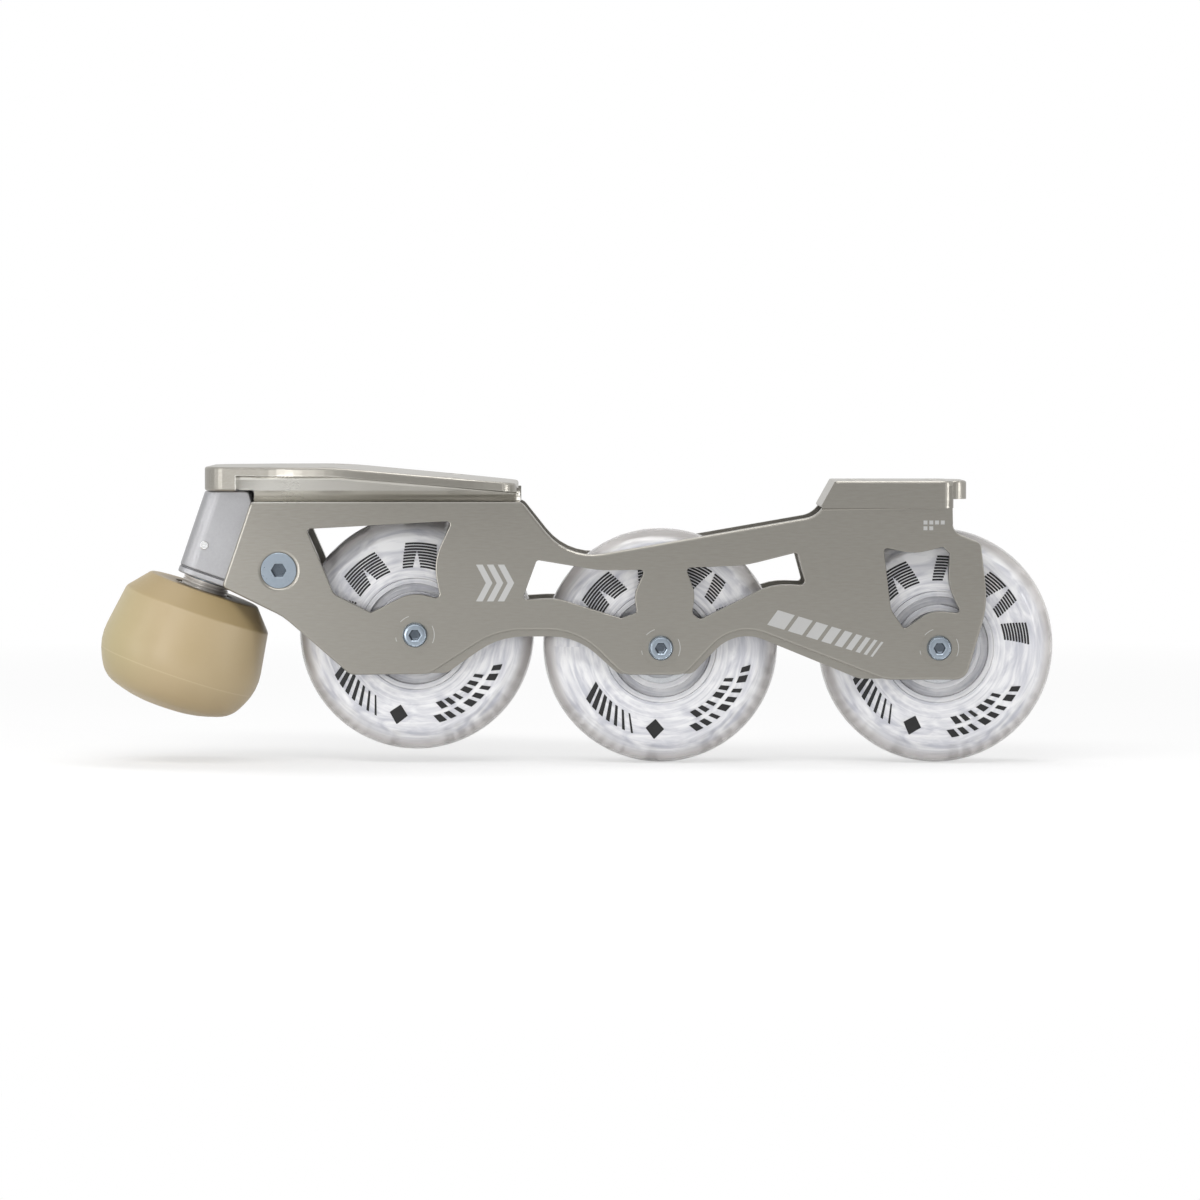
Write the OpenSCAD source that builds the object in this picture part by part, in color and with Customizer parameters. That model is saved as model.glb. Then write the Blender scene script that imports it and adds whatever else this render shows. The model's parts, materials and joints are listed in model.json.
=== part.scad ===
// Inline figure skate frame: three wheels in line under a one-piece frame, with a toe stop at the front.
// Millimetres. X runs from toe to heel, Y across from the near wall to the far wall, Z up.
// The origin is the middle of the flat front part of the sole plate's top face.

/* [Layout] */
// height of the sole plate's top above the ground
sole_height = 91.2; // [90:0.2:96]
// distance of the middle axle behind the origin
mid_axle_x = 118.4; // [117:0.2:121]
// distance between the front and middle axles
axle_gap_front = 74.8; // [74.4:0.2:77]
// distance between the middle and rear axles
axle_gap_rear = 84.7; // [83:0.1:88]
// height of the front wheel above the ground line of the other two
rocker = 4; // [2:0.5:5]

/* [Frame walls] */
// clear width between the two walls
gap_w = 27; // [26.6:0.1:29]
// thickness of a wall
wall_t = 4; // [3:0.1:4.5]
// width of the faint ring mark around each axle head
ring_mark_d = 11.4; // [10:0.2:13]
// depth of that ring mark
ring_mark_h = 0.15; // [0.1:0.05:0.4]

// step of the thin lip under the arches, behind the wall's face
lip_step = 1.2; // [0.6:0.1:2]

/* [Sole plate] */
// length of the sole plate
sole_len = 94.7; // [90:0.1:97]
// length of its flat front part
sole_flat = 40.4; // [38:0.1:44]
// slope of the part behind the flat
sole_slope = 5.2; // [4:0.1:6]
// full width of the plate at the ball of the foot
sole_w = 72; // [66:0.5:78]
// full width of the plate's rear end
sole_rear_w = 50; // [46:0.5:56]
// width of the plate's blunt front
nose_w = 46; // [42:0.5:52]
// depth of the plate at its front, where no groove is cut
nose_h = 7.3; // [6.4:0.1:7.6]
// length of that front part
nose_len = 10.2; // [9:0.1:11]
// thickness of the flange
flange_t = 2.6; // [2:0.1:3.2]
// radius of the groove's floor, between the web and the top of the wall
cove_r = 4.2; // [3.4:0.1:4.6]
// radius between the web and the flange above it
flange_r = 2.4; // [1.6:0.1:3]
// width of the ledge where the groove meets the wall
ledge_w = 0.5; // [0.4:0.1:0.8]
// thickness of the web between the groove and the pocket
web_t = 2.8; // [2.2:0.1:3.4]
// depth of the deck from the sole plate's top to the ledge
deck_h = 10.8; // [10.4:0.1:11.4]
// thickness of the deck over the pocket
deck_t = 4.2; // [3.6:0.1:5]

/* [Heel plate] */
// distance of the heel plate's front edge behind the rear axle (negative is in front)
heel_from_axle = -31.8; // [-34:0.1:-30]
// length of the heel plate
heel_len = 40.5; // [38:0.5:43]
// width of the heel plate
heel_w = 36.6; // [36:0.1:40]
// length of the narrow lip at the heel plate's rear
heel_lip = 4.3; // [3:0.1:5]
// width of that lip
heel_lip_w = 27; // [24:0.5:30]
// radius of the heel plate's rear corners
heel_round = 4; // [2:0.5:6]
// drop of the heel plate's top below the sole plate's top
heel_drop = 4.4; // [3:0.1:5]
// depth of the heel plate's band
heel_h = 8.3; // [7.4:0.1:9]
// thickness of the heel plate's rear tip
heel_tip_h = 5.6; // [4.5:0.1:7]

/* [Boot screws] */
// diameter of a boot screw hole
boot_hole_d = 5.2; // [4.4:0.1:6]
// diameter of the seat for a screw head under the flange
boot_seat_d = 9.6; // [8.5:0.1:10.5]
// distance between the two front rows of the sole plate
sole_row_gap = 19; // [16:0.5:19.5]
// middle of the two front rows behind the origin
sole_row_mid = 8.5; // [8:0.1:9]
// distance of the rear row behind the origin
sole_row_rear = 55; // [50:0.5:58]
// distance across the sole plate between the screws
sole_hole_w = 50; // [48:0.5:52]
// distance along the heel plate between the screws
heel_hole_l = 24; // [20:0.5:26]
// distance across the heel plate between the screws
heel_hole_w = 16; // [13:0.5:18]

/* [Toe stop] */
// tilt of the stem from upright
stem_tilt = 19; // [17:0.5:21]
// place of the top of the rubber along X
stop_x = -21.8; // [-23:0.1:-20.5]
// place of the top of the rubber along Z
stop_z = -37.9; // [-39:0.1:-37.4]
// stem diameter, an M12 thread drawn plain
stem_d = 12; // [10:0.1:12.6]
// length of the stem above the rubber
stem_up = 26; // [22:0.5:27]
// length of the stem inside the rubber
stem_down = 24; // [18:0.5:28]
// diameter of the disc moulded into the rubber
disc_d = 30; // [24:0.5:34]
// thickness of that disc
disc_t = 3; // [2:0.1:4]
// sliding clearance of the stem in its block
stem_clear = 0.05; // [0.03:0.01:0.1]
// diameter of the collar
collar_d = 14.4; // [13.8:0.1:16]
// height of the collar
collar_h = 3; // [2.4:0.1:3.2]
// height of each of the two grooves turned in the collar
collar_groove_h = 0.45; // [0.3:0.05:0.6]
// depth of those grooves
collar_groove_d = 0.5; // [0.3:0.05:0.7]
// diameter of the washer in the rubber's recess
stop_washer_d = 17.4; // [16.5:0.1:19]
// thickness of that washer
stop_washer_t = 1.2; // [0.8:0.1:1.6]
// radius of the rubber's flat top
rubber_top_r = 17.2; // [14.5:0.1:18]
// radius of the rubber's upper edge
rubber_edge_r = 22.9; // [21:0.1:24]
// depth of that edge
rubber_edge_h = 6.6; // [5:0.1:8]
// radius of the rubber at its widest, before rounding
rubber_r = 25.7; // [24.4:0.1:27]
// depth of the widest place
rubber_belly_h = 24.6; // [22:0.1:27]
// radius of the rubber's lower edge, before rounding
rubber_foot_r = 20.6; // [18:0.1:22]
// depth of that lower edge
rubber_foot_h = 34.7; // [33:0.1:36]
// radius of the rounded underside's middle part
rubber_under_r = 10.5; // [8:0.1:13]
// depth of that part
rubber_under_h = 38; // [37:0.1:38.2]
// depth of the rubber
rubber_h = 38.4; // [38.2:0.1:40]

/* [Toe stop block] */
// clearance between the block and each wall
block_clear = 0.1; // [0.05:0.01:0.15]
// gap between the block and the sole plate above it
block_gap = 0.3; // [0.2:0.1:1]
// distance from the stem's axis to the front of the block
block_front = 8.9; // [8.4:0.1:10]
// radius of the block's front corners
block_round = 5; // [3:0.5:7]
// height of the block's foot, below the groove around it
foot_h = 1.8; // [1.4:0.1:2.4]
// height of that groove
foot_groove_h = 0.4; // [0.3:0.05:0.6]
// depth of that groove
foot_groove_d = 0.5; // [0.3:0.05:0.8]
// width of the clamping slot
slot_w = 1.6; // [1:0.1:2.4]
// clamp bolt's thread diameter
bolt_d = 6; // [5:0.1:6.4]
// clamp bolt's head diameter
bolt_head_d = 11; // [10:0.1:12]
// place of the clamp bolt along X
bolt_x = 2.2; // [1:0.1:3]
// place of the clamp bolt along Z
bolt_z = -31.6; // [-33:0.1:-30]
// clearance of a bolt in its hole
bolt_clear = 0.2; // [0.1:0.05:0.3]
// width of the nut across its flats
nut_w = 10; // [9:0.1:11]
// height of the nut
nut_h = 5; // [4:0.1:6]

/* [Wheels] */
// outside diameter of a wheel
wheel_d = 72; // [68:0.5:73]
// width of a wheel
wheel_w = 24; // [22:0.2:24.4]
// radius where the tread starts on the side of a wheel
shoulder_r = 29.5; // [27:0.1:31]
// drop of the side of a wheel from the hub to that shoulder
side_drop = 1; // [0.4:0.1:2]
// outside radius of a hub
hub_r = 17; // [16:0.1:18.5]
// outside radius of a hub's bearing seat
hub_seat_r = 12.9; // [12.3:0.1:13.4]
// inside radius of a hub's outer rim
hub_rim_r = 15.4; // [14.6:0.1:15.8]
// depth of the recess between seat and rim
hub_recess = 2.5; // [1:0.1:4]
// inside radius of a hub between its bearings
hub_bore_r = 9.6; // [8.5:0.1:10]

/* [Bearings and axles] */
// outside diameter of a bearing
bearing_od = 22; // [21.8:0.1:22.2]
// width of a bearing
bearing_w = 7; // [6.8:0.1:7.1]
// length of the spacer between the bearings
spacer_len = 10.3; // [9.8:0.1:10.4]
// diameter of a ball
ball_d = 3.969; // [3.9:0.01:4]
// number of balls in a bearing
ball_n = 7; // [6:1:7]
// diameter of the circle of balls
ball_circle_d = 15; // [14.9:0.05:15.1]
// clearance around a ball in its grooves
ball_clear = 0.07; // [0.04:0.01:0.09]
// outside radius of an inner race
inner_race_r = 6.05; // [5.9:0.05:6.2]
// inside radius of an outer race
outer_race_r = 8.95; // [8.8:0.05:9.1]
// width of a ball cage
cage_w = 4.9; // [4.6:0.1:5.2]
// gap between a cage and each race
cage_gap = 0.45; // [0.35:0.05:0.6]
// thickness of a shield
shield_t = 0.35; // [0.3:0.05:0.4]
// diameter of an axle sleeve
axle_d = 8; // [7.9:0.02:8.04]
// clearance of the sleeve in the races and the far wall
axle_clear = 0.03; // [0.02:0.01:0.06]
// diameter of an axle screw's thread
screw_d = 5; // [4:0.1:5.4]
// diameter of an axle screw's head
screw_head_d = 7.6; // [7:0.1:9]
// height of an axle screw's head
screw_head_h = 2; // [1.6:0.1:2.6]
// width of the hexagon socket in an axle screw
screw_hex = 3; // [2.5:0.1:3.4]
// diameter of the sleeve's head on the far wall
sleeve_head_d = 11; // [10:0.1:12]
// height of that head
sleeve_head_h = 2; // [1.6:0.1:3]
// outside diameter of an axle washer
axle_washer_d = 11; // [10:0.1:11.6]

/* [View] */
// node to draw, or "all"

/* [Hidden] */
$fn = 64;
wall_in = gap_w / 2;
wall_out = wall_in + wall_t;
wheel_r = wheel_d / 2;
axle_x = [mid_axle_x - axle_gap_front, mid_axle_x, mid_axle_x + axle_gap_rear];
axle_z = [-sole_height + wheel_r + rocker, -sole_height + wheel_r, -sole_height + wheel_r];
sole_x0 = -sole_flat / 2;
sole_x1 = sole_x0 + sole_len;
bend_x = sole_flat / 2;
nose_x = sole_x0 + nose_len;
wall_x = -6.3;
web_y = wall_out - ledge_w - cove_r;
rear_drop = (sole_x1 - bend_x) * tan(sole_slope);
heel_x0 = axle_x[2] + heel_from_axle;
heel_x1 = heel_x0 + heel_len;
// places that the outline points are measured from: sole plate, three axles, heel plate
anchors = [[0, 0], [axle_x[0], axle_z[0]], [axle_x[1], axle_z[1]], [axle_x[2], axle_z[2]],
    [heel_x0, -heel_drop]];
// wall outline: [place, X, Z, corner radius], clockwise from the front top
wall_points = [[0, wall_x, -deck_h, 1.5], [0, sole_x1 + 1.6, -deck_h, 3], [2, -28.3, 26.8, 21.5],
    [4, -5.8, -10.8, 7.5], [4, 1.4, -1.5, 0], [4, 35.6, -1.5, 0], [4, 35.9, -15.4, 3.7],
    [3, 12.6, 32, 2.5], [3, 14.8, 13.1, 30], [3, 8.1, -9.7, 4.3], [3, -16.3, -9.7, 9],
    [2, 22.5, 8, 14.4], [2, 7.3, -8.2, 6], [2, -11.5, -8.2, 6], [1, 49.3, 1.5, 22], [1, 25, 1.4, 26],
    [1, 4.3, -12, 6], [1, -19.7, -12.2, 4], [0, 3.5, -45.7, 18], [0, -15.1, -36.6, 1.5]];
// thin lip under the front and the rear arch, whose upper points lie inside the wall
lip_front = [[1, 2, -11.7, 0], [1, 9.6, -11.7, 3], [1, 25.5, -0.6, 24], [1, 49.1, -0.5, 20],
    [2, -13, -7.9, 3], [2, -9.6, -7.9, 0], [2, -9.6, 0, 0], [1, 49, 6, 0], [1, 25, 6, 0], [1, 2, 0, 0]];
lip_rear = [[2, 4.4, -7.9, 0], [2, 9.6, -7.9, 3], [2, 23, 5.9, 13], [3, -24.4, -9.4, 6],
    [3, -14.8, -9.4, 0], [3, -14.8, -2, 0], [2, 22.4, 12, 0], [2, 4.4, 0, 0]];
// the four windows in each wall, front to rear
window_a = [[1, -33.1, 32.2, 1], [1, 11.3, 34.6, 1], [1, 5.5, 22.2, 40], [1, 7.8, 10.8, 1.2],
    [1, -0.9, 13.1, 15], [1, -13.4, 6.7, 1], [1, -24.9, 12.5, 4], [1, -29.5, 24, 30]];
window_b = [[2, -37.7, 26.8, 1], [2, -42.2, 14.6, 1], [2, -31.9, 15.2, 18], [2, -12.1, 9, 1],
    [2, -7.3, 10.7, 1], [2, -8.2, 16.2, 8], [2, -4.8, 23.8, 1], [2, -18.5, 23.6, 40]];
window_c = [[2, 7.6, 24.4, 1], [2, 25.6, 25.1, 40], [2, 41.4, 29.1, 1], [2, 44.1, 19.1, 1],
    [2, 33.8, 19.4, 24], [2, 11.9, 8.6, 1.5], [2, 9.5, 10.7, 1.5], [2, 10.5, 16.5, 12]];
window_d = [[3, -17, 30.6, 1], [3, -7.7, 28.5, 18], [3, 1.1, 30.8, 1], [3, 3.2, 28.6, 1],
    [3, 2.5, 19.2, 30], [3, 6.7, 10.5, 0.8], [3, -2.3, 11.4, 9], [3, -10.6, 5.7, 0.8],
    [3, -14.7, 11.6, 6]];
// toe-stop block seen from the side: [place, X, Z, corner radius]
block_points = [[0, -30, -nose_h - block_gap, 0], [0, wall_x - 0.9, -nose_h - block_gap, 1.6],
    [0, wall_x + 0.2, -deck_h - 0.8, 1], [0, 2, -13.5, 4], [0, 8.4, -29, 4],
    [0, 6.4, -40.6, 3], [0, 0, -42.4, 6], [0, -14.6, -36.9, 2], [0, -34, -30.3, 0]];

// height of the block's underside along the stem, from the top of the rubber
block_foot_z = (block_points[7][1] - stop_x) * sin(stem_tilt) + (block_points[7][2] - stop_z) * cos(stem_tilt);

function spot(p) = anchors[p[0]] + [p[1], p[2]];
// points of an arc of radius r that rounds corner b, made smaller where a side is short
function corner(a, b, c, r) =
    let (u = (a - b) / norm(a - b), v = (c - b) / norm(c - b), half = acos(max(-1, min(1, u * v))) / 2)
    (r <= 0 || half > 89) ? [b] :
    let (t = min(r / tan(half), 0.48 * min(norm(a - b), norm(c - b))), q = t * tan(half),
        m = b + (u + v) / norm(u + v) * q / sin(half), s = b + u * t - m, e = b + v * t - m,
        a0 = atan2(s[1], s[0]), w = atan2(e[1], e[0]) - a0,
        d = w > 180 ? w - 360 : w < -180 ? w + 360 : w,
        n = max(2, ceil(abs(d) / 9), ceil(q * abs(d) * PI / 180 / 3)))
    [for (i = [0 : n]) m + q * [cos(a0 + d * i / n), sin(a0 + d * i / n)]];
function rounded(p) = let (n = len(p)) [for (i = [0 : n - 1])
    each corner(spot(p[(i + n - 1) % n]), spot(p[i]), spot(p[(i + 1) % n]), p[i][3])];
// sole plate's half outline seen from above, and the same mirrored
sole_half = [[0, sole_x0, nose_w / 2, 10], [0, sole_x0 + 24, sole_w / 2 - 2.5, 45],
    [0, bend_x + 4, sole_w / 2, 90], [0, sole_x1 - 15, sole_w * 0.3 + sole_rear_w * 0.2, 40],
    [0, sole_x1, sole_rear_w / 2, 7]];
sole_points = concat(sole_half, [for (i = [4 : -1 : 0])
    [0, sole_half[i][1], -sole_half[i][2], sole_half[i][3]]]);
function sole_top(x) = x < bend_x ? 0 : -(x - bend_x) * tan(sole_slope);

// a side outline made solid between y0 and y1
module across(y0, y1) translate([0, y1, 0]) rotate([90, 0, 0]) linear_extrude(y1 - y0) children();
// a thing on the stem's axis, whose Z points up along the stem from the top of the rubber
module on_stem() translate([stop_x, 0, stop_z]) rotate([0, stem_tilt, 0]) children();
// a thing on an axle, whose Z points at the near wall
module on_axle(i) translate([axle_x[i], 0, axle_z[i]]) rotate([90, 0, 0]) children();
module ring(r, h, hole) difference() {
    cylinder(r = r, h = h);
    translate([0, 0, -1]) cylinder(r = hole, h = h + 2);
}

module walls() for (s = [0, 1]) mirror([0, s, 0]) {
    across(-wall_out, -wall_in) polygon(rounded(wall_points));
    for (p = [lip_front, lip_rear]) across(lip_step - wall_out, -wall_in) polygon(rounded(p));
}
module sole_plan(z0, z1) translate([0, 0, z0]) linear_extrude(z1 - z0) polygon(rounded(sole_points));
module sole_flange() intersection() {
    sole_plan(-20, 1);
    across(-60, 60) polygon(rounded([[0, sole_x0 - 2, 0, 0], [0, bend_x, 0, 150],
        [0, sole_x1 + 5, sole_top(sole_x1 + 5), 0], [0, sole_x1 + 5, sole_top(sole_x1 + 5) - flange_t, 0],
        [0, bend_x, -flange_t, 150], [0, sole_x0 - 2, -flange_t, 0]]));
}
// hollow corner of radius r along X, filling the angle between a face at y and a face at z
module fillet(len, y, z, r, up) difference() {
    translate([0, y, up > 0 ? z : z - r]) cube([len, r, r]);
    translate([-1, y + r, z + up * r]) rotate([0, 90, 0]) cylinder(r = r, h = len + 2);
}
module sole_fillets() for (s = [0, 1]) mirror([0, s, 0]) {
    // floor of the groove, down to the top of the wall
    translate([wall_x + 0.8, 0, 0]) fillet(sole_x1 + 1 - wall_x - 0.8, web_y - 0.1, -deck_h, cove_r + 0.1, 1);
    // corner under the flange, flat part and sloping part
    intersection() {
        sole_plan(-deck_h, 0);
        union() {
            translate([nose_x - 1, 0, 0]) fillet(bend_x - nose_x + 1, web_y - 0.1, 0.2 - flange_t, flange_r, -1);
            translate([bend_x, 0, 0]) rotate([0, sole_slope, 0])
                fillet(sole_len, web_y - 0.1, 0.2 - flange_t, flange_r, -1);
        }
    }
}
module sole_core() {
    // blunt front of full depth
    intersection() {
        sole_plan(-nose_h, -flange_t / 2);
        translate([sole_x0 - 1, -60, -20]) cube([nose_len + 1, 120, 30]);
    }
    // web and deck behind it, between the grooves
    across(-web_y, web_y) polygon([[nose_x - 1, -flange_t / 2], [nose_x - 1, -nose_h],
        [wall_x + 0.8, -nose_h], [wall_x + 0.8, -deck_h], [sole_x1 + 1, -deck_h],
        [sole_x1, sole_top(sole_x1) - 1], [bend_x, -flange_t / 2]]);
}
// hollow under the deck
module sole_pocket() across(web_t - web_y, web_y - web_t) polygon([[wall_x + 3, -deck_h - 1],
    [wall_x + 3, -deck_t], [bend_x, -deck_t], [sole_x1 - 5, sole_top(sole_x1 - 5) - deck_t],
    [sole_x1 - 5, -deck_h - 1]]);
module heel_plate() difference() {
    union() {
        intersection() {
            across(-heel_w / 2, heel_w / 2) polygon(rounded([[4, -4.6, -heel_h, 0.6], [4, 0, 0, 0.8],
                [4, heel_len, 0, 0], [4, heel_len, -heel_h, 0]]));
            translate([heel_x0, 0, -40]) linear_extrude(50) polygon(rounded([[0, -20, -heel_w / 2 - 1, 0],
                [0, heel_len - heel_lip, -heel_w / 2, heel_round], [0, heel_len - heel_lip, heel_w / 2, heel_round],
                [0, -20, heel_w / 2 + 1, 0]]));
        }
        translate([heel_x0, 0, -heel_drop - heel_tip_h]) linear_extrude(heel_tip_h) polygon(rounded([
            [0, heel_len / 2, -heel_lip_w / 2, 0], [0, heel_len, -heel_lip_w / 2, 5],
            [0, heel_len, heel_lip_w / 2, 5], [0, heel_len / 2, heel_lip_w / 2, 0]]));
    }
    translate([heel_x0 + 3, -wall_in, -heel_drop - heel_h - 1])
        cube([heel_len - 11, gap_w, heel_h + 1 - deck_t]);
}
module boot_holes() {
    for (x = [sole_row_mid - sole_row_gap / 2, sole_row_mid + sole_row_gap / 2, sole_row_rear], s = [-1, 1])
        translate([x, s * sole_hole_w / 2, 0]) {
            translate([0, 0, -30]) cylinder(d = boot_hole_d, h = 40);
            translate([0, 0, -30]) cylinder(d = boot_seat_d, h = 30 + sole_top(x) - flange_t + 0.2);
        }
    for (x = [-1, 1], s = [-1, 1])
        translate([heel_x0 + heel_len / 2 - 1 + x * heel_hole_l / 2, s * heel_hole_w / 2, -30])
            cylinder(d = boot_hole_d, h = 40);
}
module wall_holes() {
    for (p = [window_a, window_b, window_c, window_d])
        across(-wall_out - 1, wall_out + 1) polygon(rounded(p));
    for (i = [0 : 2]) on_axle(i) {
        cylinder(d = screw_d + 2 * bolt_clear, h = wall_out + 1);
        translate([0, 0, -wall_out - 1]) cylinder(d = axle_d + 2 * axle_clear, h = wall_out);
        translate([0, 0, wall_out - ring_mark_h]) ring(ring_mark_d / 2, 1, ring_mark_d / 2 - 0.35);
    }
    translate([bolt_x, 0, bolt_z]) rotate([90, 0, 0]) {
        translate([0, 0, -wall_out - 1]) cylinder(d = bolt_d + 2 * bolt_clear, h = 2 * wall_out + 2);
        translate([0, 0, wall_out - bolt_head_d / 2 + bolt_d / 2])
            cylinder(d1 = bolt_d + 2 * bolt_clear, d2 = bolt_head_d + 2 * bolt_clear + 1,
                h = bolt_head_d / 2 - bolt_d / 2 + 0.5);
    }
}
module frame() color("#a09c92") difference() {
    union() {
        walls();
        sole_flange();
        sole_fillets();
        sole_core();
        heel_plate();
    }
    sole_pocket();
    boot_holes();
    wall_holes();
}

// the block's outline seen along the stem, made smaller by d and extruded by h
module block_plan(d, h) linear_extrude(h) polygon(rounded([
    [0, d - block_front, wall_in - block_clear - d, block_round - d], [0, 60, wall_in - block_clear - d, 0],
    [0, 60, d + block_clear - wall_in, 0], [0, d - block_front, d + block_clear - wall_in, block_round - d]]));
module toe_stop_block() color("#b8b8b8") difference() {
    intersection() {
        on_stem() translate([0, 0, -20]) block_plan(0, 70);
        across(-wall_in, wall_in) polygon(rounded(block_points));
    }
    on_stem() {
        translate([0, 0, block_foot_z + foot_h]) difference() {
            translate([-30, -30, 0]) cube([36, 60, foot_groove_h]);
            translate([0, 0, -1]) block_plan(foot_groove_d, 3);
        }
        translate([0, 0, -20]) cylinder(d = stem_d + 2 * stem_clear, h = 70);
        translate([0, -slot_w / 2, -30]) cube([60, slot_w, 90]);
    }
    translate([bolt_x, 20, bolt_z]) rotate([90, 0, 0]) cylinder(d = bolt_d + 2 * bolt_clear, h = 40);
}
module clamp_bolt() color("#9fadb8") translate([bolt_x, 0, bolt_z]) rotate([90, 0, 0]) difference() {
    union() {
        translate([0, 0, -wall_out - nut_h - 1]) cylinder(d = bolt_d, h = 2 * wall_out + nut_h);
        translate([0, 0, wall_out - bolt_head_d / 2 + bolt_d / 2])
            cylinder(d1 = bolt_d, d2 = bolt_head_d, h = bolt_head_d / 2 - bolt_d / 2);
    }
    translate([0, 0, wall_out - 2]) cylinder(r = 4 / sqrt(3), h = 3, $fn = 6);
}
module clamp_nut() color("#9fadb8") translate([bolt_x, wall_out, bolt_z]) rotate([-90, 0, 0]) difference() {
    cylinder(r = nut_w / sqrt(3), h = nut_h, $fn = 6);
    translate([0, 0, -1]) cylinder(d = bolt_d + 0.04, h = nut_h + 2);
}

module toe_stop_rubber() color("#c2b48a") on_stem() difference() {
    rotate_extrude() polygon(rounded([[0, 0, 0, 0], [0, rubber_top_r, 0, 1.2],
        [0, rubber_edge_r, -rubber_edge_h, 2], [0, rubber_r, -rubber_belly_h, 18],
        [0, rubber_foot_r, -rubber_foot_h, 9], [0, rubber_under_r, -rubber_under_h, 30],
        [0, 0, -rubber_h, 0]]));
    translate([0, 0, -stem_down - 0.02]) cylinder(d = stem_d + 0.04, h = 60);
    translate([0, 0, -stem_down - 0.02]) cylinder(d = disc_d + 0.04, h = disc_t + 0.04);
    translate([0, 0, -stop_washer_t - 0.4]) cylinder(d = stop_washer_d + 0.8, h = 10);
}
module toe_stop_stem() color("#9fadb8") on_stem() {
    translate([0, 0, -stem_down]) cylinder(d = stem_d, h = stem_down + stem_up);
    translate([0, 0, -stem_down]) cylinder(d = disc_d, h = disc_t);
}
module toe_stop_washer() color("#8e9298") on_stem() translate([0, 0, -stop_washer_t - 0.4])
    ring(stop_washer_d / 2, stop_washer_t, stem_d / 2 + 0.02);
module toe_stop_collar() color("#c4c6c8") on_stem() translate([0, 0, -0.4]) difference() {
    ring(collar_d / 2, collar_h, stem_d / 2 + 0.02);
    for (k = [1, 2]) translate([0, 0, (k * (collar_h + collar_groove_h)) / 3 - collar_groove_h])
        ring(collar_d / 2 + 1, collar_groove_h, collar_d / 2 - collar_groove_d);
}

module tyre(i) color("#d5d6db", 0.6) on_axle(i) rotate_extrude() {
    h = wheel_w / 2 - side_drop;
    sag = wheel_r - shoulder_r;
    arc_r = (h * h + sag * sag) / (2 * sag);
    polygon([[hub_r, -wheel_w / 2], [shoulder_r, -h], [shoulder_r, h], [hub_r, wheel_w / 2]]);
    intersection() {
        translate([wheel_r - arc_r, 0]) circle(r = arc_r);
        translate([shoulder_r - 0.01, -h]) square([sag + 1, 2 * h]);
    }
}
module hub(i) color("#e4e5e8", 0.6) on_axle(i) difference() {
    translate([0, 0, -wheel_w / 2]) cylinder(r = hub_r, h = wheel_w);
    translate([0, 0, -wheel_w]) cylinder(r = hub_bore_r, h = 2 * wheel_w);
    for (s = [0, 1]) mirror([0, 0, s]) {
        translate([0, 0, spacer_len / 2]) cylinder(d = bearing_od + 0.02, h = wheel_w);
        translate([0, 0, wheel_w / 2 - hub_recess]) ring(hub_rim_r, hub_recess + 1, hub_seat_r);
    }
}
module axle_screw(i) color("#9fadb8") on_axle(i) difference() {
    union() {
        translate([0, 0, 1]) cylinder(d = screw_d, h = wall_out);
        translate([0, 0, wall_out]) cylinder(d = screw_head_d, h = 0.6 * screw_head_h);
        translate([0, 0, wall_out + 0.6 * screw_head_h])
            cylinder(d1 = screw_head_d, d2 = 0.8 * screw_head_d, h = 0.4 * screw_head_h);
    }
    translate([0, 0, wall_out + 0.3]) cylinder(r = screw_hex / sqrt(3), h = screw_head_h, $fn = 6);
}
module axle_sleeve(i) color("#8e9298") on_axle(i) difference() {
    union() {
        translate([0, 0, -wall_out]) cylinder(d = axle_d, h = wall_out + wall_in - 0.1);
        translate([0, 0, -wall_out - sleeve_head_h]) cylinder(d = sleeve_head_d, h = sleeve_head_h);
    }
    cylinder(d = screw_d + 0.04, h = 40);
    translate([0, 0, -wall_out - sleeve_head_h - 1]) cylinder(r = 4 / sqrt(3), h = 3, $fn = 6);
}
module bearing_spacer(i) color("#b0b4b8") on_axle(i) translate([0, 0, -spacer_len / 2])
    ring(axle_d / 2 + 1.4, spacer_len, axle_d / 2 + axle_clear);
module axle_washers(i) color("#b0b4b8") on_axle(i) for (s = [0, 1]) mirror([0, 0, s])
    translate([0, 0, spacer_len / 2 + bearing_w])
        ring(axle_washer_d / 2, wall_in - spacer_len / 2 - bearing_w, axle_d / 2 + axle_clear);

// a thing in the middle plane of both bearings of a wheel
module at_bearings(i) on_axle(i) for (s = [0, 1]) mirror([0, 0, s])
    translate([0, 0, spacer_len / 2 + bearing_w / 2]) children();
module inner_races(i) color("#c9ccd0") at_bearings(i) rotate_extrude() difference() {
    translate([axle_d / 2 + axle_clear, -bearing_w / 2])
        square([inner_race_r - axle_d / 2 - axle_clear, bearing_w]);
    translate([ball_circle_d / 2, 0]) circle(d = ball_d + 2 * ball_clear);
}
module outer_races(i) color("#c9ccd0") at_bearings(i) rotate_extrude() difference() {
    translate([outer_race_r, -bearing_w / 2]) square([bearing_od / 2 - outer_race_r, bearing_w]);
    translate([ball_circle_d / 2, 0]) circle(d = ball_d + 2 * ball_clear);
    for (s = [0, 1]) mirror([0, s])
        translate([outer_race_r - 1, bearing_w / 2 - 0.1 - shield_t]) square([1.6, 1]);
}
module bearing_balls(i) color("#d8dade") at_bearings(i) for (k = [0 : ball_n - 1])
    rotate([0, 0, k * 360 / ball_n]) translate([ball_circle_d / 2, 0, 0]) sphere(d = ball_d);
module ball_cages(i) color("#d2cdbe") at_bearings(i) difference() {
    translate([0, 0, -cage_w / 2]) ring(outer_race_r - cage_gap, cage_w, inner_race_r + cage_gap);
    for (k = [0 : ball_n - 1]) rotate([0, 90, k * 360 / ball_n]) cylinder(d = ball_d + 0.1, h = bearing_od);
}
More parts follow.
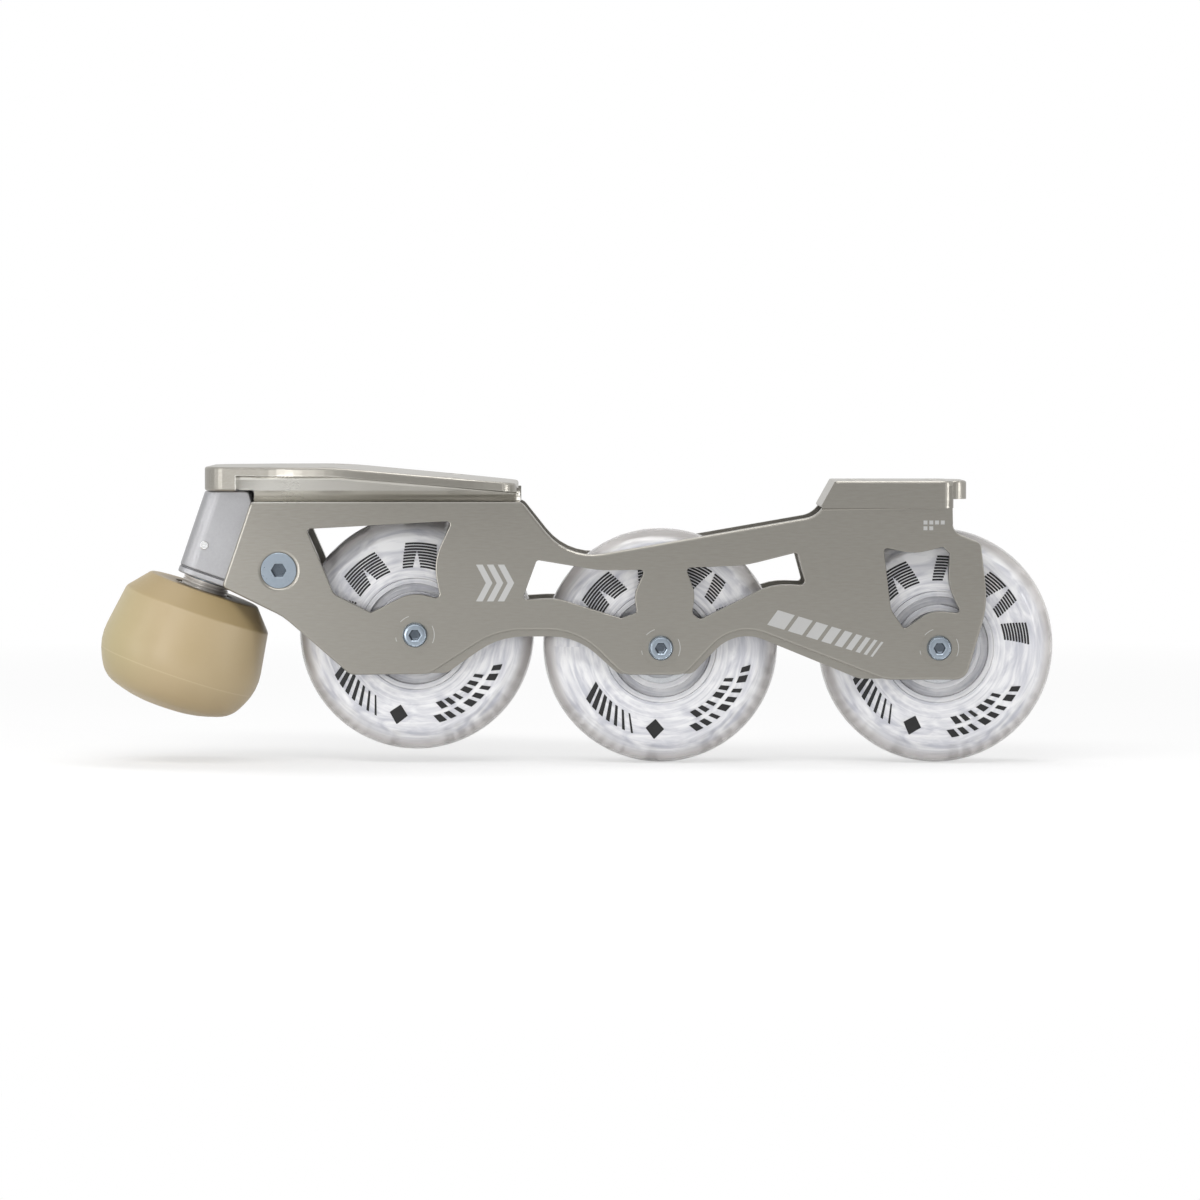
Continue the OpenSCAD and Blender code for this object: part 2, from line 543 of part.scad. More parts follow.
module bearing_shields(i) color("#bcbec2") at_bearings(i) for (s = [0, 1]) mirror([0, 0, s])
    translate([0, 0, bearing_w / 2 - 0.1 - shield_t]) ring(outer_race_r + 0.6, shield_t, inner_race_r + 0.35);

module tyre_front() tyre(0);
module tyre_middle() tyre(1);
module tyre_rear() tyre(2);
module hub_front() hub(0);
module hub_middle() hub(1);
module hub_rear() hub(2);
module axle_screw_front() axle_screw(0);
module axle_screw_middle() axle_screw(1);
module axle_screw_rear() axle_screw(2);
module axle_sleeve_front() axle_sleeve(0);
module axle_sleeve_middle() axle_sleeve(1);
module axle_sleeve_rear() axle_sleeve(2);
module bearing_spacer_front() bearing_spacer(0);
module bearing_spacer_middle() bearing_spacer(1);
module bearing_spacer_rear() bearing_spacer(2);
module axle_washers_front() axle_washers(0);
module axle_washers_middle() axle_washers(1);
module axle_washers_rear() axle_washers(2);
module inner_races_front() inner_races(0);
module inner_races_middle() inner_races(1);
module inner_races_rear() inner_races(2);
module outer_races_front() outer_races(0);
module outer_races_middle() outer_races(1);
module outer_races_rear() outer_races(2);
module bearing_balls_front() bearing_balls(0);
module bearing_balls_middle() bearing_balls(1);
module bearing_balls_rear() bearing_balls(2);
module ball_cages_front() ball_cages(0);
module ball_cages_middle() ball_cages(1);
module ball_cages_rear() ball_cages(2);
module bearing_shields_front() bearing_shields(0);
module bearing_shields_middle() bearing_shields(1);
module bearing_shields_rear() bearing_shields(2);

frame();
toe_stop_block();
clamp_bolt();
clamp_nut();
toe_stop_rubber();
toe_stop_stem();
toe_stop_collar();
toe_stop_washer();
tyre_front();
hub_front();
axle_screw_front();
axle_sleeve_front();
bearing_spacer_front();
axle_washers_front();
inner_races_front();
outer_races_front();
bearing_balls_front();
ball_cages_front();
bearing_shields_front();
tyre_middle();
hub_middle();
axle_screw_middle();
axle_sleeve_middle();
bearing_spacer_middle();
axle_washers_middle();
inner_races_middle();
outer_races_middle();
bearing_balls_middle();
ball_cages_middle();
bearing_shields_middle();
tyre_rear();
hub_rear();
axle_screw_rear();
axle_sleeve_rear();
bearing_spacer_rear();
axle_washers_rear();
inner_races_rear();
outer_races_rear();
bearing_balls_rear();
ball_cages_rear();
bearing_shields_rear();
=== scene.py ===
# %% [markdown]
# # Inline figure skate frame
# Three clear wheels stand in line under a one-piece metal frame, and a tan toe stop hangs from a clamped
# block at the front. The solids come ready made and in the right place, so this lesson only dresses them:
# edges that catch the light, materials that behave like the real ones, the plain print on the wheels, and a
# small white studio.

import json
import math

import bmesh
import bpy
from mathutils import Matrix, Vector


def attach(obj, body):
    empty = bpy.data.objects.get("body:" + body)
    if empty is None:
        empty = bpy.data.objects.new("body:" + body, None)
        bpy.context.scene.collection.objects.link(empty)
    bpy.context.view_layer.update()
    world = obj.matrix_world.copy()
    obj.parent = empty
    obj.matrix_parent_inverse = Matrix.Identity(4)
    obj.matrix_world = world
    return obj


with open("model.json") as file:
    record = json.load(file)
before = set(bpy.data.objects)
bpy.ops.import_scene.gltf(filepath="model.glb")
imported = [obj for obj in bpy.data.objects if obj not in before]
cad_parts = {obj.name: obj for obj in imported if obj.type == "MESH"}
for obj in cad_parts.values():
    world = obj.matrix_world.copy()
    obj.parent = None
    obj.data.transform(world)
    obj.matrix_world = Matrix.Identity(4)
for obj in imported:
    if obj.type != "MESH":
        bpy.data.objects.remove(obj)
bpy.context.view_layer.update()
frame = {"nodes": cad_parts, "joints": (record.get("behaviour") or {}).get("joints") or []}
nodes = frame["nodes"]
MM = 0.001
WHEELS = ("front", "middle", "rear")
axles = {}
for joint in frame["joints"]:
    for wheel in WHEELS:
        if joint["name"] == f"wheel_{wheel}_spin":
            axles[wheel] = Vector(joint["pos_m"])
print("nodes:", len(nodes), "axles in mm:", {k: [round(x / MM, 1) for x in v] for k, v in axles.items()})

# %% [markdown]
# ## Colours and nodes
# Colours are picked as sRGB hex values, the way a colour picker shows them, but shader sockets hold
# linear light. One function does that change for every colour here. A second one adds a node with its
# settings and links, so a material reads as a short list of what it is made of.


# %% Helpers for every material
def linear(code):
    parts = [int(code[i : i + 2], 16) / 255 for i in (1, 3, 5)]
    return (*[p / 12.92 if p <= 0.04045 else ((p + 0.055) / 1.055) ** 2.4 for p in parts], 1.0)


def add(mat, kind, inputs=None, **settings):
    made = mat.node_tree.nodes.new(kind)
    for name, value in settings.items():
        setattr(made, name, value)
    for name, value in (inputs or {}).items():
        if isinstance(value, bpy.types.NodeSocket):
            mat.node_tree.links.new(value, made.inputs[name])
        else:
            made.inputs[name].default_value = value
    return made


def new_material(name):
    mat = bpy.data.materials.new(name)
    mat.use_nodes = True
    mat.node_tree.nodes.clear()
    return mat


print("white in linear light:", linear("#FFFFFF")[:3])

# %% [markdown]
# ## Satin anodised aluminium
# The frame is milled from one block of aluminium, blasted with fine glass beads and anodised in a champagne
# grey. Blasting leaves a fine, even grain that breaks the shine into a soft sheen. The anodised layer is
# dyed, so its tone drifts a little over the length. A metal keeps the default IOR; its base colour is what
# it mirrors.
#
# The groove under the sole plate lies in the shade of the wide flange. Light is painted into it as a paler
# colour, with a smoother finish than the rest. It could be a second material on its faces, but the painted
# light fades along the groove. So a mask is worked out from the place on the frame: a chain of sums, each one
# a Math node.

# %% Mask of the groove's painted light
SOLE_BEND, SOLE_SLOPE = 20.2, math.tan(math.radians(5.2))
GROOVE_X, GROOVE_FOOT, GROOVE_TOP = (-10.3, 78.0), -11.15, -2.5
GROOVE_FADE, GROOVE_SHARE = (0.0, 35.0), (0.9, 0.42)
GROOVE_SUMS = (
    # name of the result, operation, first value, second value
    ("behind_bend", "SUBTRACT", "x", SOLE_BEND * MM),
    ("past_bend", "MAXIMUM", "behind_bend", 0.0),
    ("fall", "MULTIPLY", "past_bend", SOLE_SLOPE),
    ("from_top", "ADD", "z", "fall"),
    ("below_flange", "LESS_THAN", "from_top", GROOVE_TOP * MM),
    ("above_deck", "GREATER_THAN", "z", GROOVE_FOOT * MM),
    ("behind_nose", "GREATER_THAN", "x", GROOVE_X[0] * MM),
    ("before_end", "LESS_THAN", "x", GROOVE_X[1] * MM),
)
GROOVE_TESTS = ("below_flange", "above_deck", "behind_nose", "before_end")


def painted_groove_light_mask(mat, place):
    axis = add(mat, "ShaderNodeSeparateXYZ", {"Vector": place}).outputs
    known = {"x": axis["X"], "z": axis["Z"]}
    for name, operation, first, second in GROOVE_SUMS:
        values = {0: known[first], 1: known.get(second, second)}
        known[name] = add(mat, "ShaderNodeMath", values, operation=operation).outputs["Value"]
    # The painted light is strongest at the front and fades toward the rear.
    share = add(
        mat, "ShaderNodeMapRange",
        {
            "Value": axis["X"], "From Min": GROOVE_FADE[0] * MM, "From Max": GROOVE_FADE[1] * MM,
            "To Min": GROOVE_SHARE[0], "To Max": GROOVE_SHARE[1],
        },
    ).outputs["Result"]
    for test in GROOVE_TESTS:
        share = add(mat, "ShaderNodeMath", {0: share, 1: known[test]}, operation="MULTIPLY").outputs["Value"]
    return share


print("groove from", GROOVE_X[0], "to", GROOVE_X[1], "mm")

# %% Metals
# The groove's pale colour and its mask are painted light, in place of the light that the flange keeps out.
GROOVE_PAINTED_LIGHT, GROOVE_ROUGH = "#DEDCD6", 0.26
SHINE_SPREAD, GRAIN_HEIGHT = 0.07, 0.05
EVEN, ALONG_FRAME = (1.0, 1.0, 1.0), (0.15, 1.0, 1.0)


def bead_blasted(name, colour, darker, roughness, grain_mm, drift_mm, depth, lay=EVEN, groove=False):
    mat = new_material(name)
    place = add(mat, "ShaderNodeTexCoord").outputs["Object"]
    # The lay draws the grain out along one direction, as polishing before the blast leaves it.
    laid = add(mat, "ShaderNodeVectorMath", {0: place, 1: lay}, operation="MULTIPLY").outputs["Vector"]
    # Blast grain is near 0.1 mm on the real piece; it is drawn coarser so that it shows at this picture size.
    grain = add(
        mat, "ShaderNodeTexNoise", {"Vector": laid, "Scale": 1 / (grain_mm * MM), "Detail": 3.0}
    ).outputs["Fac"]
    drift = add(
        mat, "ShaderNodeTexNoise", {"Vector": laid, "Scale": 1 / (drift_mm * MM), "Detail": 2.0}
    ).outputs["Fac"]
    amount = add(mat, "ShaderNodeMath", {0: grain, 1: drift}, operation="MULTIPLY").outputs["Value"]
    tone = add(
        mat, "ShaderNodeMix", {"Factor": amount, "A": linear(colour), "B": linear(darker)}, data_type="RGBA"
    ).outputs["Result"]
    shine = add(
        mat, "ShaderNodeMapRange",
        {"Value": grain, "To Min": roughness - SHINE_SPREAD, "To Max": roughness + SHINE_SPREAD},
    ).outputs["Result"]
    # Painted light: the shaded groove under the flange takes a paler colour.
    if groove:
        share = painted_groove_light_mask(mat, place)
        tone = add(
            mat, "ShaderNodeMix", {"Factor": share, "A": tone, "B": linear(GROOVE_PAINTED_LIGHT)}, data_type="RGBA"
        ).outputs["Result"]
        shine = add(
            mat, "ShaderNodeMix", {"Factor": share, "A": shine, "B": GROOVE_ROUGH}, data_type="FLOAT"
        ).outputs["Result"]
    bump = add(
        mat, "ShaderNodeBump", {"Height": grain, "Strength": depth, "Distance": GRAIN_HEIGHT * MM}
    ).outputs["Normal"]
    skin = add(
        mat, "ShaderNodeBsdfPrincipled",
        {"Base Color": tone, "Metallic": 1.0, "Roughness": shine, "Normal": bump},
    )
    add(mat, "ShaderNodeOutputMaterial", {"Surface": skin.outputs["BSDF"]})
    return mat


# After the name: colour, darker colour, roughness, grain and drift in mm, depth of the grain.
satin_aluminium = bead_blasted(
    "satin_anodised_aluminium", "#A5A29B", "#88847C", 0.34, 0.5, 60, 0.1, ALONG_FRAME, groove=True
)
# Milling alone leaves a duller, paler face.
plain_aluminium = bead_blasted("plain_milled_aluminium", "#ADADAF", "#9D9DA0", 0.5, 0.6, 20, 0.2)
# Zinc plate looks bluish and shines a little.
zinc_steel = bead_blasted("zinc_plated_steel", "#A4AFBA", "#8F9BA7", 0.3, 0.8, 4, 0.06)
# Races and balls are ground and polished, so they mirror more sharply than the rest.
bearing_steel = bead_blasted("polished_bearing_steel", "#C9CBCE", "#B3B6BA", 0.16, 0.8, 6, 0.05)
# A lathe leaves the spacers bright.
spacer_aluminium = bead_blasted("turned_spacer_aluminium", "#BDBEC0", "#A5A7AA", 0.3, 0.6, 6, 0.1)
# The collar is finished satin: a warm, soft grey.
collar_steel = bead_blasted("satin_collar_steel", "#D6D2CD", "#BFBAB4", 0.42, 0.6, 4, 0.08)
# Oil and painted shade darken the steel inside a socket.
socket_oil_and_shade_steel = bead_blasted("socket_steel_oil_and_painted_shade", "#6A727B", "#525A63", 0.3, 0.6, 3, 0.1)
# Nickel plate is pale; its colour is set almost to white as a painted glint.
nickel_painted_glint = bead_blasted("nickel_plate_painted_glint", "#FBFBFB", "#EFEFF1", 0.2, 0.8, 6, 0.03)
# A laser takes out the dye and leaves the pale metal.
etched_metal = bead_blasted("laser_etched_aluminium", "#D2D2D1", "#C8C7C5", 0.36, 0.5, 20, 0.1)
print("metals:", [m.name for m in bpy.data.materials])

# %% [markdown]
# ## Clear cast urethane
# The tyres are cast from clear polyurethane, turned to shape and polished. Light goes in, bounces about and
# comes out milky white, with silvery swirls where the pour flowed. The tread, where the wall is thin, stays
# clearer and a little warm. The hubs are moulded from a like plastic, a little cooler and clearer. Plain
# noise would give even clouds, but the pour ran round the mould. So the noise is drawn in the wheel's own
# angle, radius and depth, which bends the swirls around the axle.

# %% Cast urethane and hub plastic
# How often a pattern repeats: per radian of turn, per mm outward, per mm across.
SWIRL, RINGS = (2.2, 0.26, 0.12), (0.9, 1.0, 0.06)
HUB_ZONE, RING_SHARE = (17.0, 24.0), (0.75, 0.3)
FLOW_SPAN = (0.38, 0.6)
TREAD_ZONE, TREAD_CLEAR = (31.5, 34.5), 0.65
URETHANE_IOR = 1.49


def wheel_place(mat, centre):
    place = add(mat, "ShaderNodeTexCoord").outputs["Object"]
    local = add(
        mat, "ShaderNodeVectorMath", {0: place, 1: tuple(centre)}, operation="SUBTRACT"
    ).outputs["Vector"]
    axis = add(mat, "ShaderNodeSeparateXYZ", {"Vector": local}).outputs
    flat = add(mat, "ShaderNodeCombineXYZ", {"X": axis["X"], "Z": axis["Z"]}).outputs["Vector"]
    radius = add(mat, "ShaderNodeVectorMath", {0: flat}, operation="LENGTH").outputs["Value"]
    turn = add(mat, "ShaderNodeMath", {0: axis["Z"], 1: axis["X"]}, operation="ARCTAN2").outputs["Value"]
    polar = add(mat, "ShaderNodeCombineXYZ", {"X": turn, "Y": radius, "Z": axis["Y"]}).outputs["Vector"]
    return radius, polar


def cast_clear(name, centre, pale, cool, warm, through, rough):
    mat = new_material(name)
    radius, polar = wheel_place(mat, centre)
    flows = []
    # The pour leaves swirls. Turning on a lathe leaves rings about 1 mm apart, which show most near the hub.
    for (per_turn, outward, across), detail, bend in ((SWIRL, 4.0, 1.6), (RINGS, 3.0, 0.5)):
        often = (per_turn, outward / MM, across / MM)
        stretch = add(mat, "ShaderNodeVectorMath", {0: polar, 1: often}, operation="MULTIPLY")
        flow = add(
            mat, "ShaderNodeTexNoise",
            {"Vector": stretch.outputs["Vector"], "Scale": 1.0, "Detail": detail, "Distortion": bend},
        )
        flows.append(flow.outputs["Fac"])
    by_hub = add(
        mat, "ShaderNodeMapRange",
        {
            "Value": radius, "From Min": HUB_ZONE[0] * MM, "From Max": HUB_ZONE[1] * MM,
            "To Min": RING_SHARE[0], "To Max": RING_SHARE[1],
        },
    ).outputs["Result"]
    flow = add(
        mat, "ShaderNodeMix", {"Factor": by_hub, "A": flows[0], "B": flows[1]}, data_type="FLOAT"
    ).outputs["Result"]
    milky = add(
        mat, "ShaderNodeMapRange", {"Value": flow, "From Min": FLOW_SPAN[0], "From Max": FLOW_SPAN[1]}
    ).outputs["Result"]
    body = add(
        mat, "ShaderNodeMix", {"Factor": milky, "A": linear(cool), "B": linear(pale)}, data_type="RGBA"
    ).outputs["Result"]
    tread = add(
        mat, "ShaderNodeMapRange",
        {"Value": radius, "From Min": TREAD_ZONE[0] * MM, "From Max": TREAD_ZONE[1] * MM},
        interpolation_type="SMOOTHSTEP",
    ).outputs["Result"]
    tone = add(
        mat, "ShaderNodeMix", {"Factor": tread, "A": body, "B": linear(warm)}, data_type="RGBA"
    ).outputs["Result"]
    clear = add(
        mat, "ShaderNodeMapRange", {"Value": tread, "To Min": through, "To Max": TREAD_CLEAR}
    ).outputs["Result"]
    skin = add(
        mat, "ShaderNodeBsdfPrincipled",
        {"Base Color": tone, "Roughness": rough, "IOR": URETHANE_IOR, "Transmission Weight": clear},
    )
    add(mat, "ShaderNodeOutputMaterial", {"Surface": skin.outputs["BSDF"]})
    return mat


for wheel in WHEELS:
    cast_clear(f"cast_urethane_{wheel}", axles[wheel], "#FBFBFC", "#CDCED7", "#EEE9E5", 0.3, 0.1)
    cast_clear(f"moulded_hub_{wheel}", axles[wheel], "#F6F6F8", "#CDCED6", "#E9E9ED", 0.35, 0.1)
print("clear materials:", [m.name for m in bpy.data.materials if m.name.startswith(("cast", "moulded"))])

# %% [markdown]
# ## Moulded tan polyurethane
# The toe stop is a hard rubbery plug, moulded in a tan mix. It has a slightly waxy sheen, a skin of tiny
# pores and a faint line where the mould parts. Its colour is darker towards the bottom and a little greener
# on the front side. A darker line of painted shade runs along the ridge, and the top is darker brown around
# the collar, partly dirt and partly painted shade. These tones could be painted by hand. Here each is drawn
# from
# where a point lies on the plug: its depth, its distance from the axis, or how far to the front it is.

# %% Where a point lies on the plug
PLUG_TOP = Vector((-21.8, 0.0, -37.9)) * MM
PLUG_TILT = math.radians(19.0)
PLUG_AXIS = Vector((math.sin(PLUG_TILT), 0.0, math.cos(PLUG_TILT)))
tan_rubber = new_material("moulded_tan_polyurethane")
place = add(tan_rubber, "ShaderNodeTexCoord").outputs["Object"]
local = add(
    tan_rubber, "ShaderNodeVectorMath", {0: place, 1: PLUG_TOP}, operation="SUBTRACT"
).outputs["Vector"]
height = add(
    tan_rubber, "ShaderNodeVectorMath", {0: local, 1: PLUG_AXIS}, operation="DOT_PRODUCT"
).outputs["Value"]
depth = add(tan_rubber, "ShaderNodeMath", {0: 0.0, 1: height}, operation="SUBTRACT").outputs["Value"]
around = add(
    tan_rubber, "ShaderNodeVectorMath", {0: local, 1: PLUG_AXIS}, operation="CROSS_PRODUCT"
).outputs["Vector"]
radius = add(tan_rubber, "ShaderNodeVectorMath", {0: around}, operation="LENGTH").outputs["Value"]
side = add(tan_rubber, "ShaderNodeSeparateXYZ", {"Vector": local}).outputs["X"]
print("plug's top at", [round(x / MM, 1) for x in PLUG_TOP], "mm")

# %% Stains and painted shade on the tan rubber
CLOUD_MM, RIDGE_DEPTH = 18, 6.6
STAINS_AND_PAINTED_SHADE = (
    # where it is measured, from and to in mm, strength from and to, colour
    (side, (-32, -8), (0.55, 0.0), "#A49C73"),
    (depth, (24, 38), (0.0, 0.5), "#917D5A"),
    # Painted shade: a darker line along the ridge, where the plug's side bends.
    (depth, (RIDGE_DEPTH - 0.5, RIDGE_DEPTH + 0.4), (0.6, 0.0), "#917D54"),
    # Partly dirt, partly painted shade: a darker ring on the top around the collar.
    (radius, (10, 19), (0.9, 0.0), "#6F5C3B"),
)
cloud = add(tan_rubber, "ShaderNodeTexNoise", {"Vector": place, "Scale": 1 / (CLOUD_MM * MM), "Detail": 4.0})
tone = add(
    tan_rubber, "ShaderNodeMix",
    {"Factor": cloud.outputs["Fac"], "A": linear("#B19F7F"), "B": linear("#A5936F")}, data_type="RGBA",
).outputs["Result"]
for measure, span, strength, colour in STAINS_AND_PAINTED_SHADE:
    amount = add(
        tan_rubber, "ShaderNodeMapRange",
        {
            "Value": measure, "From Min": span[0] * MM, "From Max": span[1] * MM,
            "To Min": strength[0], "To Max": strength[1],
        },
        interpolation_type="SMOOTHSTEP",
    ).outputs["Result"]
    if measure is radius:
        # The brown ring, partly dirt and partly painted shade under the collar, lies on the top alone, above
        # the ridge.
        on_top = add(
            tan_rubber, "ShaderNodeMath", {0: depth, 1: RIDGE_DEPTH * MM}, operation="LESS_THAN"
        ).outputs["Value"]
        amount = add(
            tan_rubber, "ShaderNodeMath", {0: amount, 1: on_top}, operation="MULTIPLY"
        ).outputs["Value"]
    tone = add(
        tan_rubber, "ShaderNodeMix", {"Factor": amount, "A": tone, "B": linear(colour)}, data_type="RGBA"
    ).outputs["Result"]
print("stains:", [colour for *_, colour in STAINS_AND_PAINTED_SHADE])

# %% Parting line and skin of the tan rubber
PARTING_DEPTH, PARTING_HALF, PARTING_SHARE = 26.5, 0.18, 0.2
PORE_MM, PORE_HEIGHT, PORE_DEPTH = 0.7, 0.05, 0.2
RUBBER_SHINE, PLASTIC_IOR = (0.34, 0.48), 1.5
parting = add(
    tan_rubber, "ShaderNodeMath", {0: depth, 1: PARTING_DEPTH * MM, 2: PARTING_HALF * MM}, operation="COMPARE"
).outputs["Value"]
line = add(
    tan_rubber, "ShaderNodeMath", {0: parting, 1: PARTING_SHARE}, operation="MULTIPLY"
).outputs["Value"]
tone = add(
    tan_rubber, "ShaderNodeMix", {"Factor": line, "A": tone, "B": linear("#CDBE9D")}, data_type="RGBA"
).outputs["Result"]
# The real pores are too fine to show; they are drawn at a size that does.
pore = add(
    tan_rubber, "ShaderNodeTexNoise", {"Vector": place, "Scale": 1 / (PORE_MM * MM), "Detail": 2.0}
).outputs["Fac"]
bump = add(
    tan_rubber, "ShaderNodeBump", {"Height": pore, "Strength": PORE_DEPTH, "Distance": PORE_HEIGHT * MM}
).outputs["Normal"]
shine = add(
    tan_rubber, "ShaderNodeMapRange", {"Value": pore, "To Min": RUBBER_SHINE[0], "To Max": RUBBER_SHINE[1]}
).outputs["Result"]
skin = add(
    tan_rubber, "ShaderNodeBsdfPrincipled",
    {"Base Color": tone, "Roughness": shine, "IOR": PLASTIC_IOR, "Normal": bump},
)
add(tan_rubber, "ShaderNodeOutputMaterial", {"Surface": skin.outputs["BSDF"]})
print("made", tan_rubber.name)

# %% [markdown]
# ## Small plastics and ink
# The ball cages are moulded nylon, ivory and a little waxy, and the bearing seals are dull, pale grey rubber.
# Both sit deep in the hubs, so a simple fine grain is enough. Printing ink dries almost black, with a weak
# sheen and the same kind of grain, so it shares the function.

# %% Cage nylon, seal rubber and printing ink
MOULD_DEPTH, MOULD_HEIGHT = 0.15, 0.03


def moulded(name, colour, darker, roughness, grain_mm):
    mat = new_material(name)
    place = add(mat, "ShaderNodeTexCoord").outputs["Object"]
    grain = add(
        mat, "ShaderNodeTexNoise", {"Vector": place, "Scale": 1 / (grain_mm * MM), "Detail": 3.0}
    ).outputs["Fac"]
    tone = add(
        mat, "ShaderNodeMix", {"Factor": grain, "A": linear(colour), "B": linear(darker)}, data_type="RGBA"
    ).outputs["Result"]
    bump = add(
        mat, "ShaderNodeBump", {"Height": grain, "Strength": MOULD_DEPTH, "Distance": MOULD_HEIGHT * MM}
    ).outputs["Normal"]
    skin = add(
        mat, "ShaderNodeBsdfPrincipled",
        {"Base Color": tone, "Roughness": roughness, "IOR": PLASTIC_IOR, "Normal": bump},
    )
    add(mat, "ShaderNodeOutputMaterial", {"Surface": skin.outputs["BSDF"]})
    return mat


cage_nylon = moulded("moulded_cage_nylon", "#D8D4C6", "#C4BEAC", 0.45, 0.6)
shield_rubber = moulded("moulded_seal_rubber", "#C4C6CA", "#B4B6BA", 0.5, 0.5)
print_ink = moulded("screen_printed_ink", "#0D0D0E", "#1A191B", 0.5, 0.9)
print("made", cage_nylon.name, shield_rubber.name, print_ink.name)

# %% [markdown]
# ## Dress the solids
# Each solid keeps its mesh and takes a material. The single pieces are named one by one. The pieces that each
# wheel has are named once by their kind, and a loop gives them to all three wheels.

# %% Assign the materials
FINISHES = {
    "frame": satin_aluminium,
    "toe_stop_block": plain_aluminium,
    "toe_stop_rubber": tan_rubber,
    "clamp_bolt": zinc_steel, "clamp_nut": zinc_steel,
    "toe_stop_stem": zinc_steel, "toe_stop_collar": collar_steel, "toe_stop_washer": bearing_steel,
}
BY_KIND = {
    "axle_screw": zinc_steel, "axle_sleeve": zinc_steel, "axle_washers": zinc_steel,
    "bearing_spacer": spacer_aluminium, "inner_races": bearing_steel, "outer_races": bearing_steel,
    "bearing_balls": bearing_steel, "ball_cages": cage_nylon, "bearing_shields": shield_rubber,
}
for wheel in WHEELS:
    FINISHES[f"tyre_{wheel}"] = bpy.data.materials[f"cast_urethane_{wheel}"]
    FINISHES[f"hub_{wheel}"] = bpy.data.materials[f"moulded_hub_{wheel}"]
    for kind, finish in BY_KIND.items():
        FINISHES[f"{kind}_{wheel}"] = finish
for name, piece in nodes.items():
    piece.data.materials.clear()
    piece.data.materials.append(FINISHES[name])
print("dressed", len(FINISHES), "of", len(nodes), "solids")

# %% [markdown]
# The hexagon sockets of the bolt and the axle screws are dark inside: partly oil, partly painted shade
# for their own shadow.
# Their faces take a second material slot: they lie below the head's face and within the socket's radius.

# %% Darken the hexagon sockets with oil and painted shade
BOLT_AT, BOLT_SOCKET_R, BOLT_FACE = (2.2, -31.6), 2.4, -17.45
SCREW_SOCKET_R, BELOW_FACE, SOCKET_DEEP = 1.8, 0.05, 2.5
sockets = {"clamp_bolt": (BOLT_AT, BOLT_SOCKET_R, BOLT_FACE)}
for wheel, axle in axles.items():
    head = min(v.co.y for v in nodes[f"axle_screw_{wheel}"].data.vertices) / MM
    sockets[f"axle_screw_{wheel}"] = ((axle.x / MM, axle.z / MM), SCREW_SOCKET_R, head + BELOW_FACE)
for name, ((x, z), reach, face_y) in sockets.items():
    mesh = nodes[name].data
    mesh.materials.append(socket_oil_and_shade_steel)
    count = 0
    for face in mesh.polygons:
        spot = face.center / MM
        if math.hypot(spot.x - x, spot.z - z) < reach and face_y < spot.y < face_y + SOCKET_DEEP:
            face.material_index = 1
            count += 1
    print(name, "socket faces:", count)

# %% [markdown]
# ## Rounded edges
# No real edge is perfectly sharp, and a small rounding catches a line of light. It could be modelled by hand,
# but modifiers leave the solid's own mesh as it is. Weld joins the corner points that the file keeps apart,
# Decimate joins faces that lie in one plane, Bevel rounds the sharp edges, and Weighted Normal keeps the flat
# faces flat in the shading.

# %% Round the small solids' edges
WELD_GAP, FLAT_ANGLE, SHARP = 0.002, 0.3, 32
EDGE_ROUND = {
    "toe_stop_block": 0.4, "clamp_bolt": 0.25, "clamp_nut": 0.3, "toe_stop_collar": 0.12,
    "toe_stop_rubber": 0.3,
}
WHEEL_ROUND = {"axle_screw": 0.4, "axle_sleeve": 0.2, "hub": 0.25, "tyre": 0.4}
for wheel in WHEELS:
    for kind, width in WHEEL_ROUND.items():
        EDGE_ROUND[f"{kind}_{wheel}"] = width


def join_corners(piece):
    weld = piece.modifiers.new("join_corners", "WELD")
    weld.merge_threshold = WELD_GAP * MM


def round_edges(piece, width_mm, steps, limit="ANGLE"):
    flat = piece.modifiers.new("join_flat_faces", "DECIMATE")
    flat.decimate_type = "DISSOLVE"
    flat.angle_limit = math.radians(FLAT_ANGLE)
    bevel = piece.modifiers.new("round_edges", "BEVEL")
    bevel.width = width_mm * MM
    bevel.segments = steps
    bevel.use_clamp_overlap = False
    bevel.limit_method = limit
    bevel.angle_limit = math.radians(SHARP)


def even_shading(piece):
    even = piece.modifiers.new("even_shading", "WEIGHTED_NORMAL")
    even.keep_sharp = True


for name, piece in nodes.items():
    join_corners(piece)
    if name in EDGE_ROUND:
        round_edges(piece, EDGE_ROUND[name], 2)
    if name != "frame":
        even_shading(piece)
print("rounded edges on", len(EDGE_ROUND), "small solids")

# %% [markdown]
# The frame has hundreds of tiny edges inside its corners, where a bevel would fold over itself. So only the
# long outlines that the eye follows are rounded: both outer faces of the walls, the rim of the sole plate,
# the heel plate and the nose. Each such edge gets a bevel weight, if it lies there and its two faces meet at
# a clear angle. The windows' edges get a smaller one.

# %% Find the frame's outlines
WALL_FACE, ON_FACE = 17.5, 0.002
LEDGE_Z = -11.2
NOSE_END, NOSE_UNDERSIDE, ON_UNDERSIDE = -9.0, -7.3, 0.01
SOLE_END, SOLE_RIM = 76.0, -0.35
HEEL_FRONT, HEEL_TOP = 170.0, -4.5
AXLE_CLEAR = 7.0
# Each window's place in the wall: from and to along X, from and to along Z, in mm.
WINDOWS = (
    (10, 56, -45, -16), (75, 114.5, -46.5, -28.2), (125, 163, -46.8, -25.8), (185, 211, -50, -24),
)


